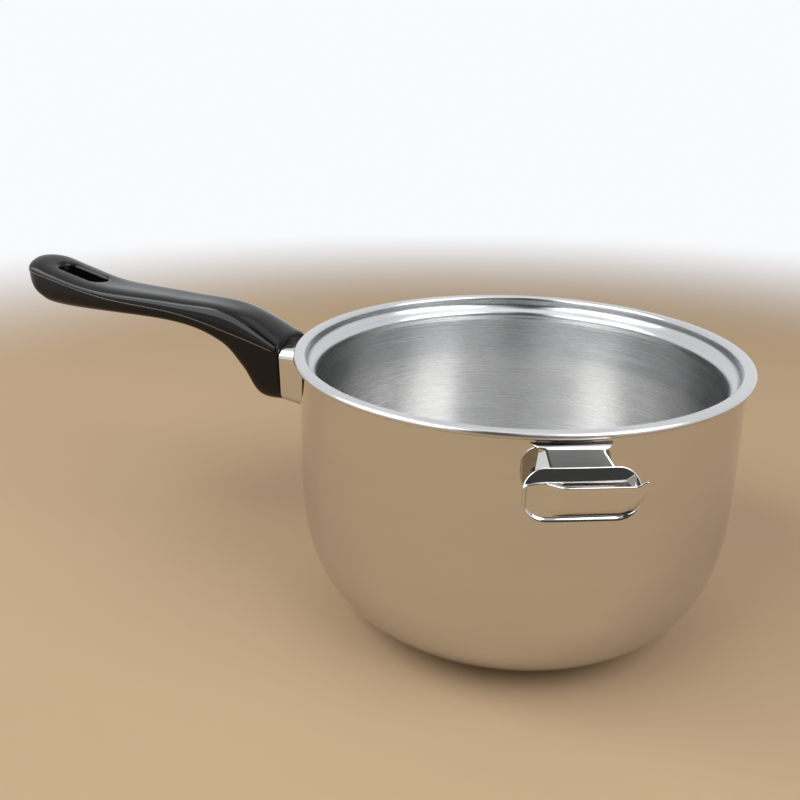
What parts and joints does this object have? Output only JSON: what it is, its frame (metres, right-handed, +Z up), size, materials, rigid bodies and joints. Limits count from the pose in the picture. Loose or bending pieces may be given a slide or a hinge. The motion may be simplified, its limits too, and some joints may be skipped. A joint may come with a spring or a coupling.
{
  "type": "bain-marie pot",
  "caption": "Double-walled polished steel pot: a satin bowl with a stepped lid rim in a bellied outer pot, a folded hook and a black handle.",
  "frame": {"origin": "centre of the flat underside of the base, on the pot's axis", "axes": "+Z up along the pot's axis, the handle points along -X"},
  "size_m": [0.3219, 0.1758, 0.1224],
  "materials": {
    "polished_steel": "mirror polished outside, satin inside",
    "plain_steel": "plain",
    "phenolic": "glossy moulded"
  },
  "bodies": {
    "root": {"outer_pot": "polished_steel", "inner_bowl": "polished_steel", "rim_hook": "polished_steel", "handle_grip": "phenolic", "handle_ferrule": "polished_steel", "handle_bracket": "plain_steel", "handle_screw": "plain_steel", "screw_washer": "plain_steel", "bracket_nut": "plain_steel"}
  },
  "joints": []
}
